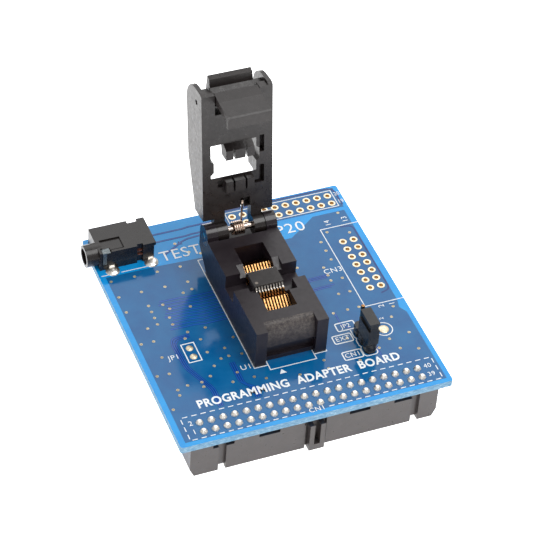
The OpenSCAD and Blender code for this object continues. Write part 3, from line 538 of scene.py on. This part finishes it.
for k in range(3):
    o = 0.42 * k
    trace(round_path([(-17.6, 24.9 + o), (-20.7 - o, 24.7 + o), (-21.3 - o, 23.6), (-20.9 - o, 16.5),
                      (-17.9 - o, 9.4), (-17.9 - o, 4.2)], 1.0), 0.2)
for k in range(3):
    o = 0.45 * k
    trace(round_path([(-12.4 + o, 15.2), (-12.4 + o, 9.6 - o), (-10.6 + o, 7.2), (-10.6 + o, 4.2)], 0.8), 0.2)
for k in range(10):
    y = 27.6 + 0.95 * k
    bend, end = -15.6 - 0.35 * (k % 3), -20.8 + 0.5 * (k % 4)
    trace([(-8.2, y), (-13.2 + 0.12 * k, y), (bend, y + 0.4), (end, y + 0.5)], 0.3)
for y, x in ((29.7, 16.6), (30.2, 17.4), (32.6, 16.6), (33.0, 17.0), (33.4, 17.4)):
    trace([(8.3, y - 0.3), (x - 1.5, y), (x, y)], 0.2)
for y in (54.4, 56.8):
    trace([(-15.6, y), (-8.0, y), (-6.6, y + 0.2), (1.2, y + 0.2)], 0.24)
trace(round_path([(-14.4, 50.0), (-11.0, 52.0), (-8.6, 53.4), (-4.0, 53.7)], 1.5), 0.24)
trace(round_path([(14.0, 22.0), (14.0, 18.0), (18.6, 14.0), (18.6, 5.0)], 0.8), 0.22)
gaps.done("pour_clearance", DARK_MASK)
lines.done("traces", LINE_MASK)

# ------------------------------------------------------------------ vias

# x of a column, then the y of each via in it. A blob-finding program measured these places on the photograph,
# and they were rounded, picked through and grouped. They should give way to places chosen by hand.
VIAS = {
    -28.0: (6.3, 16.1, 25.9, 35.8, 40.7, 45.6), -25.3: (9.7, 11.2, 16.1, 21.0, 25.9, 29.9),
    -22.8: (11.8, 30.5, 32.4, 34.3, 36.3, 40.7, 45.7), -19.8: (10.5, 11.8, 29.4, 31.6, 35.6),
    -18.8: (24.7, 34.0, 52.4), -17.6: (12.8, 26.4, 40.7, 45.5), -15.8: (15.4, 19.6, 23.5),
    -14.5: (33.3, 37.7), -13.6: (9.8, 16.9, 26.5), -12.4: (38.3, 40.7, 45.6), -11.8: (12.2, 17.1, 19.6),
    -9.0: (9.8, 16.9, 22.0, 49.4), -6.7: (8.7, 48.2), 0.2: (7.4,), 6.6: (7.3, 9.7), 11.6: (37.3,),
    13.7: (7.4, 14.2, 22.0), 17.1: (22.0, 27.0, 31.4, 33.2, 35.7), 18.9: (9.4,),
    19.7: (22.0, 27.0, 31.5, 37.5, 40.4, 43.3), 22.1: (11.2, 45.9), 23.2: (8.0,), 25.2: (17.1,),
    26.8: (6.7, 11.7, 19.9, 44.4, 51.1), -26.7: (52.7,), -4.0: (53.7,), -11.0: (52.8,),
}
rings, bores = Ink(TOP + 0.01, TOP + 0.045), Ink(TOP + 0.012, TOP + 0.05)
for x, ys in VIAS.items():
    for y in ys:
        dx, dy = rng.uniform(-0.08, 0.08), rng.uniform(-0.08, 0.08)
        rings.ring(x + dx, y + dy, 0.24, 0.2, 14)
        bores.disc(x + dx, y + dy, 0.15, 10)
rings.done("via_rings", VIA, slot="gold_plate")
BORE = metal("via_fill", lin(196, 184, 152), lin(128, 110, 84), 0.5)
bores.done("via_fills", BORE, slot="gold_plate")

# ------------------------------------------------------------------ silkscreen

W = 0.2
silk = Ink(TOP + 0.02, TOP + 0.06)
for a, b in (((-27.5, -2.75), (-2.3, -2.75)), ((2.2, -2.75), (28.2, -2.75)), ((28.2, -2.75), (28.2, 3.55)),
             ((28.2, 3.55), (-27.5, 3.55)), ((-27.5, 3.55), (-27.5, -2.75))):
    silk.dashes(a, b, W, 1.15, 0.85)
silk.line([(2.67, 53.23), (27.97, 53.23), (27.97, 58.53), (2.67, 58.53)], W, closed=True)
silk.line([(29.95, 21.73), (20.97, 21.73), (20.97, 47.03), (29.95, 47.03)], W)
silk.line([(-20.33, 17.73), (-17.53, 17.73), (-17.53, 23.13), (-20.33, 23.13)], 0.22, closed=True)
silk.line([(-5.03, 12.03), (-8.1, 12.03), (-8.1, 46.2), (-6.6, 46.2)], W)
silk.line([(5.27, 12.03), (8.1, 12.03), (8.1, 46.2), (6.6, 46.2)], W)
silk.line([(-5.03, 10.63), (5.27, 10.63), (5.27, 13.93), (-5.03, 13.93)], W, closed=True)
silk.prism([(-3.6, 8.9), (-2.1, 8.9), (-2.85, 10.1)])
silk.line([(-29.5, 47.83), (-26.6, 47.83)], W)
silk.line([(-25.0, 47.83), (-19.2, 47.83), (-17.8, 48.4)], W)
silk.line([(-27.0, 59.6), (-16.4, 59.6)], W)
silk.line([(15.2, 16.2), (15.2, 13.9), (15.5, 13.4), (15.2, 12.9), (15.2, 11.4), (15.5, 10.9), (15.2, 10.4),
           (15.2, 8.5), (15.6, 8.0), (17.8, 8.0), (18.3, 8.5), (18.3, 9.6)], W)
silk.ring(22.07, 14.23, 1.9, 0.22)
for x, y in ((14.7, 17.6), (12.7, 14.3), (12.9, 9.3)):
    silk.line(round_path([(x, y - 1.15), (x + 2.1, y - 1.15), (x + 2.1, y + 1.15), (x - 2.1, y + 1.15),
                          (x - 2.1, y - 1.15), (x, y - 1.15)], 0.4), 0.26)
silk.done("silkscreen", SILK)

lettering("silk_lettering", [
    ("2", -25.95, 1.55, 1.3, 0, 1), ("1", -25.95, -0.85, 1.3, 0, 1), ("40", 26.5, 1.45, 1.2, 0, 0.95),
    ("39", 26.4, -0.95, 1.2, 0, 0.95), ("CN1", -0.05, -2.75, 1.2, 0, 1.05),
    ("20", 29.0, 57.1, 1.2, 0, 0.8), ("19", 29.0, 54.5, 1.2, 0, 0.8),
    ("14", 23.4, 48.6, 1.3, 90, 1), ("13", 27.5, 48.7, 1.3, 90, 1), ("2", 24.4, 20.85, 1.3, 90, 1),
    ("1", 26.9, 20.85, 1.3, 90, 1), ("CN3", 18.7, 34.2, 1.45, 0, 1.05), ("JP1", -22.9, 20.15, 1.35, 0, 1),
    ("U1", -9.6, 12.9, 1.4, 0, 1.05), ("1", 18.8, 17.9, 1.2, 90, 1), ("2", 22.9, 17.3, 1.0, 90, 1),
    ("JP2", 14.7, 17.6, 1.2, 0, 0.95), ("EXT", 12.7, 14.3, 1.3, 0, 0.95), ("CN1", 12.9, 9.3, 1.3, 0, 0.95),
])
lettering("board_title", [("PROGRAMMING  ADAPTER  BOARD", -0.4, 5.95, 2.15, 0, 0.88)], 0.09)
lettering("board_kind", [("TEST", -10.9, 49.5, 3.1, 0, 0.95), ("CHIP20", 10.6, 49.5, 3.1, 0, 1.05)])

# ------------------------------------------------------------------ springs across the two hinges


def spring(name, node, centre, x_step, turns, a0, r, wire, leg0, leg1, steps, frame_rot, mat):
    """A swept wire: leg, coil, leg. frame_rot turns the spring's own Y-Z plane about X."""
    def spot(ang, x):
        return Vector((x, r * math.cos(ang), r * math.sin(ang)))

    path = []
    t0 = Vector((0, -math.sin(a0), math.cos(a0)))
    start = spot(a0, 0)
    for k in range(4):
        path.append(start - t0 * leg0 * (1 - k / 4))
    n = int(steps * turns)
    for k in range(n + 1):
        ang = a0 + 2 * math.pi * turns * k / n
        path.append(spot(ang, x_step * turns * k / n))
    a1 = a0 + 2 * math.pi * turns
    t1 = Vector((0, -math.sin(a1), math.cos(a1)))
    end = path[-1].copy()
    for k in range(1, 7):
        path.append(end + t1 * leg1 * k / 6)
    rot = Matrix.Rotation(frame_rot, 3, "X")
    path = [rot @ p for p in path]
    sides, verts, faces = 10, [], []
    for i, p in enumerate(path):
        d = (path[min(i + 1, len(path) - 1)] - path[max(i - 1, 0)]).normalized()
        u = Vector((1, 0, 0)).cross(d).normalized()
        v = d.cross(u)
        for k in range(sides):
            q = 2 * math.pi * k / sides
            verts.append(Vector(centre) + p + wire * (math.cos(q) * u + math.sin(q) * v))
    for i in range(len(path) - 1):
        for k in range(sides):
            m = (k + 1) % sides
            faces.append((i * sides + k, i * sides + m, (i + 1) * sides + m, (i + 1) * sides + k))
    last = (len(path) - 1) * sides
    faces += [tuple(range(sides)), tuple(last + k for k in range(sides))]
    ob = piece(name, verts, faces, mat, body=None, slot="spring_steel", smooth=True)
    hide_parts(node)
    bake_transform(ob)


spring("hinge_coil", "lid_spring", (-1.4, HINGE_Y, HINGE_Z), 0.46, 5 + 1 / 6, math.radians(-60), 1.32, 0.23,
       1.0, 6.4, 28, 0.0, COIL)
LEAN_SIN, LEAN_COS = 0.139173, 0.990268  # the open lid leans 8 degrees back
LATCH_U, LATCH_W = 31.2, 3.6  # the latch's axis, up the lid and behind its face
LATCH_AXIS = (-0.68, HINGE_Y + LEAN_SIN * LATCH_U + LEAN_COS * LATCH_W,
              HINGE_Z + LEAN_COS * LATCH_U - LEAN_SIN * LATCH_W)
spring("latch_coil", "latch_spring", LATCH_AXIS, 0.32, 4, math.radians(90), 1.0, 0.14,
       2.04, 1.15, 20, math.radians(-98), COIL)

# ------------------------------------------------------------------ small details

mark = Ink(CHIP_TOP - 0.01, CHIP_TOP + 0.012)
mark.disc(-2.45, 26.75, 0.36, 20)
MARK = moulded("chip_mark", lin(120, 112, 104), 0.5, 0.03)
mark.done("chip_pin_one_mark", MARK, slot="chip_mould")

# ------------------------------------------------------------------ stage, light and camera

floor_mesh = bpy.data.meshes.new("floor")
floor_mesh.from_pydata([(-3, -3, 0), (3, -3, 0), (3, 3, 0), (-3, 3, 0)], [], [(0, 1, 2, 3)])
floor = bpy.data.objects.new("floor", floor_mesh)
scene.collection.objects.link(floor)
FLOOR = Mat("floor", (0.92, 0.92, 0.92, 1), 0.9)
FLOOR.set("Emission Color", (1, 1, 1, 1))
FLOOR.set("Emission Strength", 1.15)
floor_mesh.materials.append(FLOOR.m)
floor.location.z = CAD_BOX[0][2] - 0.00005

LIGHT_TARGET = Vector((0, 0.028, 0.02))


def area(name, size, power, loc):
    """A square soft light at loc, turned to the middle of the board."""
    d = bpy.data.lights.new(name, "AREA")
    d.shape = "SQUARE"
    d.size = size
    d.energy = power
    o = bpy.data.objects.new(name, d)
    o.location = loc
    o.rotation_euler = (LIGHT_TARGET - Vector(loc)).to_track_quat("-Z", "Y").to_euler()
    scene.collection.objects.link(o)


area("key", 0.6, 4.6, (0.28, -0.2, 0.8))
area("fill", 0.5, 0.8, (-0.5, -0.5, 0.5))
area("back", 1.2, 5.6, (0.42, 0.95, 0.98))

world = bpy.data.worlds.new("studio")
world.use_nodes = True
world.node_tree.nodes["Background"].inputs["Color"].default_value = (1, 1, 1, 1)
world.node_tree.nodes["Background"].inputs["Strength"].default_value = 0.55
scene.world = world
scene.view_settings.view_transform = "Standard"

# The camera's place in metres and its axes right and up, worked out by a pinhole fit to the photograph
CAM_PLACE = Vector((-0.14620, -0.29704, 0.36016))
CAM_RIGHT = Vector((0.93046, -0.36231, 0.05444))
CAM_UP = Vector((0.2129, 0.6556, 0.7244))
cam_data = bpy.data.cameras.new("camera")
cam_data.sensor_width = 36
cam_data.lens = 158.59
cam_data.clip_start = 0.01
cam = bpy.data.objects.new("camera", cam_data)
back = CAM_RIGHT.cross(CAM_UP).normalized()
up = back.cross(CAM_RIGHT).normalized()
turn = Matrix((CAM_RIGHT.normalized(), up, back)).transposed().to_4x4()
cam.matrix_world = Matrix.Translation(CAM_PLACE) @ turn
scene.collection.objects.link(cam)
bpy.context.scene.camera = cam
